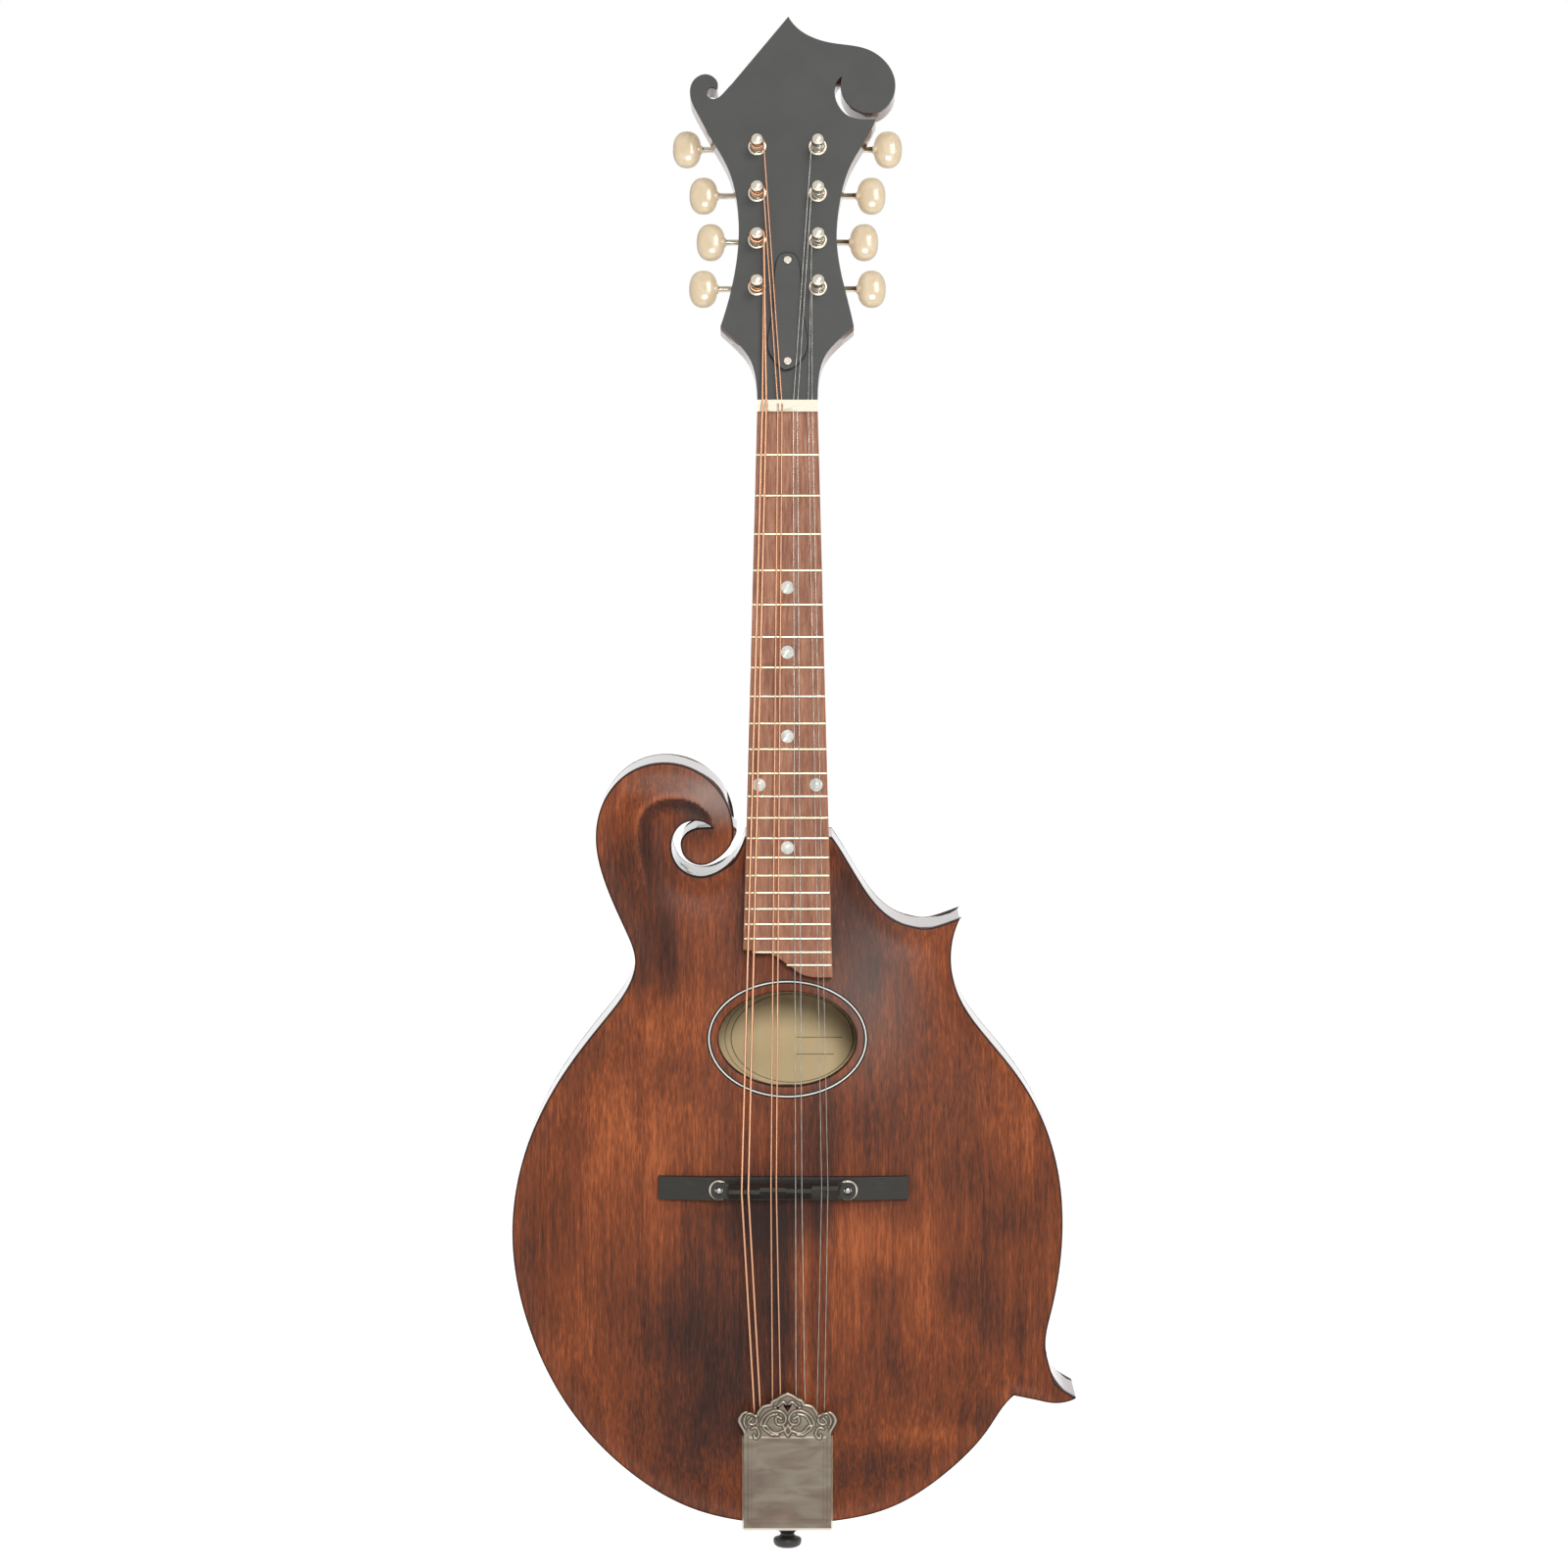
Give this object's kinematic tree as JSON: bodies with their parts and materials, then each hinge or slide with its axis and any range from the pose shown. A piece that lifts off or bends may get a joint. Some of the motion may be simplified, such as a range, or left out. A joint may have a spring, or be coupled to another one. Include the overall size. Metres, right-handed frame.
{
  "type": "f-style mandolin",
  "caption": "F-style mandolin with a carved, scrolled body, oval sound hole, adjustable bridge, sliding engraved tailpiece cover and geared tuners.",
  "frame": {"origin": "centre of the end pin's outer face", "axes": "+X to the right as seen from the front, +Y away from the viewer towards the back, +Z from tail to head"},
  "size_m": [0.2607, 0.1144, 0.7124],
  "materials": {
    "black_wood": "satin black-grey",
    "bone": "ivory coloured",
    "button_plastic": "cream, glossy",
    "cover_plate": "matte charcoal",
    "fingerboard_wood": "bare oiled",
    "fret_metal": "polished pale",
    "head_face": "matte charcoal",
    "inner_wood": "bare",
    "label_paper": "cream paper",
    "neck_wood": "satin dark brown stain",
    "nickel": "polished, slightly tarnished",
    "pearl": "silvery pearl",
    "pin_black": "satin black",
    "plain_wire": "bright",
    "ring_line": "black, white and black lines",
    "stained_body": "satin dark red-brown stain",
    "stained_top": "satin stain, dark red-brown with lighter orange-brown patches",
    "steel": "plain",
    "wound_wire": "copper coloured winding"
  },
  "bodies": {
    "instrument": {"soundboard": "stained_top", "back_plate": "stained_body", "ribs": "stained_body", "head_block": "stained_body", "tail_block": "inner_wood", "point_blocks": "inner_wood", "linings": "inner_wood", "cross_brace": "inner_wood", "rosette": "ring_line", "paper_label": "label_paper", "neck": "neck_wood", "head_plate": "head_face", "nut": "bone", "fingerboard": "fingerboard_wood", "fingerboard_riser": "black_wood", "frets": "fret_metal", "position_dots": "pearl", "truss_rod": "steel", "truss_cover": "cover_plate", "truss_cover_screws": "nickel", "tuner_plate_bass": "nickel", "tuner_plate_treble": "nickel", "post_bushings": "nickel", "tuner_plate_screws": "nickel", "bridge_base": "black_wood", "bridge_studs": "nickel", "tailpiece_base": "nickel", "tailpiece_screws": "nickel", "end_pin": "pin_black", "wound_strings": "wound_wire", "plain_strings": "plain_wire"},
    "tuner_shaft_bass_1": {"tuner_button_bass_1": "button_plastic", "worm_shaft_bass_1": "nickel"},
    "post_bass_1": {"string_post_bass_1": "nickel"},
    "tuner_shaft_bass_2": {"tuner_button_bass_2": "button_plastic", "worm_shaft_bass_2": "nickel"},
    "post_bass_2": {"string_post_bass_2": "nickel"},
    "tuner_shaft_bass_3": {"tuner_button_bass_3": "button_plastic", "worm_shaft_bass_3": "nickel"},
    "post_bass_3": {"string_post_bass_3": "nickel"},
    "tuner_shaft_bass_4": {"tuner_button_bass_4": "button_plastic", "worm_shaft_bass_4": "nickel"},
    "post_bass_4": {"string_post_bass_4": "nickel"},
    "tuner_shaft_treble_1": {"tuner_button_treble_1": "button_plastic", "worm_shaft_treble_1": "nickel"},
    "post_treble_1": {"string_post_treble_1": "nickel"},
    "tuner_shaft_treble_2": {"tuner_button_treble_2": "button_plastic", "worm_shaft_treble_2": "nickel"},
    "post_treble_2": {"string_post_treble_2": "nickel"},
    "tuner_shaft_treble_3": {"tuner_button_treble_3": "button_plastic", "worm_shaft_treble_3": "nickel"},
    "post_treble_3": {"string_post_treble_3": "nickel"},
    "tuner_shaft_treble_4": {"tuner_button_treble_4": "button_plastic", "worm_shaft_treble_4": "nickel"},
    "post_treble_4": {"string_post_treble_4": "nickel"},
    "rod_nut": {"truss_rod_nut": "steel"},
    "cover": {"tailpiece_cover": "nickel"},
    "saddle": {"bridge_saddle": "black_wood"},
    "wheel_bass": {"thumbwheel_bass": "nickel"},
    "wheel_treble": {"thumbwheel_treble": "nickel"}
  },
  "joints": [
    {"name": "tuner_turn_bass_1", "type": "hinge", "parent": "instrument", "child": "tuner_shaft_bass_1", "pos_m": [-0.014, 0.02464, 0.58606], "axis": [1, 0, 0], "continuous": true},
    {"name": "post_turn_bass_1", "type": "hinge", "parent": "instrument", "child": "post_bass_1", "pos_m": [-0.014, 0.00464, 0.58723], "axis": [0, -0.9455, 0.3256], "continuous": true},
    {"name": "tuner_turn_bass_2", "type": "hinge", "parent": "instrument", "child": "tuner_shaft_bass_2", "pos_m": [-0.014, 0.03205, 0.60757], "axis": [1, 0, 0], "continuous": true},
    {"name": "post_turn_bass_2", "type": "hinge", "parent": "instrument", "child": "post_bass_2", "pos_m": [-0.014, 0.01204, 0.60874], "axis": [0, -0.9455, 0.3256], "continuous": true},
    {"name": "tuner_turn_bass_3", "type": "hinge", "parent": "instrument", "child": "tuner_shaft_bass_3", "pos_m": [-0.014, 0.03945, 0.62908], "axis": [1, 0, 0], "continuous": true},
    {"name": "post_turn_bass_3", "type": "hinge", "parent": "instrument", "child": "post_bass_3", "pos_m": [-0.014, 0.01945, 0.63026], "axis": [0, -0.9455, 0.3256], "continuous": true},
    {"name": "tuner_turn_bass_4", "type": "hinge", "parent": "instrument", "child": "tuner_shaft_bass_4", "pos_m": [-0.014, 0.04686, 0.65059], "axis": [1, 0, 0], "continuous": true},
    {"name": "post_turn_bass_4", "type": "hinge", "parent": "instrument", "child": "post_bass_4", "pos_m": [-0.014, 0.02686, 0.65177], "axis": [0, -0.9455, 0.3256], "continuous": true},
    {"name": "tuner_turn_treble_1", "type": "hinge", "parent": "instrument", "child": "tuner_shaft_treble_1", "pos_m": [0.014, 0.02464, 0.58606], "axis": [1, 0, 0], "continuous": true},
    {"name": "post_turn_treble_1", "type": "hinge", "parent": "instrument", "child": "post_treble_1", "pos_m": [0.014, 0.00464, 0.58723], "axis": [0, -0.9455, 0.3256], "continuous": true},
    {"name": "tuner_turn_treble_2", "type": "hinge", "parent": "instrument", "child": "tuner_shaft_treble_2", "pos_m": [0.014, 0.03205, 0.60757], "axis": [1, 0, 0], "continuous": true},
    {"name": "post_turn_treble_2", "type": "hinge", "parent": "instrument", "child": "post_treble_2", "pos_m": [0.014, 0.01204, 0.60874], "axis": [0, -0.9455, 0.3256], "continuous": true},
    {"name": "tuner_turn_treble_3", "type": "hinge", "parent": "instrument", "child": "tuner_shaft_treble_3", "pos_m": [0.014, 0.03945, 0.62908], "axis": [1, 0, 0], "continuous": true},
    {"name": "post_turn_treble_3", "type": "hinge", "parent": "instrument", "child": "post_treble_3", "pos_m": [0.014, 0.01945, 0.63026], "axis": [0, -0.9455, 0.3256], "continuous": true},
    {"name": "tuner_turn_treble_4", "type": "hinge", "parent": "instrument", "child": "tuner_shaft_treble_4", "pos_m": [0.014, 0.04686, 0.65059], "axis": [1, 0, 0], "continuous": true},
    {"name": "post_turn_treble_4", "type": "hinge", "parent": "instrument", "child": "post_treble_4", "pos_m": [0.014, 0.02686, 0.65177], "axis": [0, -0.9455, 0.3256], "continuous": true},
    {"name": "rod_nut_turn", "type": "hinge", "parent": "instrument", "child": "rod_nut", "pos_m": [0, 0.00071, 0.56144], "axis": [0, 0.0872, 0.9962], "range_deg": [-180, 180]},
    {"name": "cover_slide", "type": "slide", "parent": "instrument", "child": "cover", "axis": [0, 0, -1], "range_m": [0, 0.07]},
    {"name": "saddle_height", "type": "slide", "parent": "instrument", "child": "saddle", "axis": [0, -1, 0], "range_m": [-0.0015, 0]},
    {"name": "thumbwheel_bass_turn", "type": "hinge", "parent": "saddle", "child": "wheel_bass", "pos_m": [-0.0314, -0.045, 0.17491], "axis": [0, -1, 0], "range_deg": [-860, 0]},
    {"name": "thumbwheel_treble_turn", "type": "hinge", "parent": "saddle", "child": "wheel_treble", "pos_m": [0.0276, -0.045, 0.17491], "axis": [0, -1, 0], "range_deg": [-860, 0]}
  ],
  "couplings": [
    {"joint": "post_turn_bass_1", "follows": "tuner_turn_bass_1", "ratio": 0.0625},
    {"joint": "post_turn_bass_2", "follows": "tuner_turn_bass_2", "ratio": 0.0625},
    {"joint": "post_turn_bass_3", "follows": "tuner_turn_bass_3", "ratio": 0.0625},
    {"joint": "post_turn_bass_4", "follows": "tuner_turn_bass_4", "ratio": 0.0625},
    {"joint": "post_turn_treble_1", "follows": "tuner_turn_treble_1", "ratio": 0.0625},
    {"joint": "post_turn_treble_2", "follows": "tuner_turn_treble_2", "ratio": 0.0625},
    {"joint": "post_turn_treble_3", "follows": "tuner_turn_treble_3", "ratio": 0.0625},
    {"joint": "post_turn_treble_4", "follows": "tuner_turn_treble_4", "ratio": 0.0625},
    {"joint": "thumbwheel_bass_turn", "follows": "saddle_height", "rad_per_m": 9901},
    {"joint": "thumbwheel_treble_turn", "follows": "saddle_height", "rad_per_m": 9901}
  ]
}
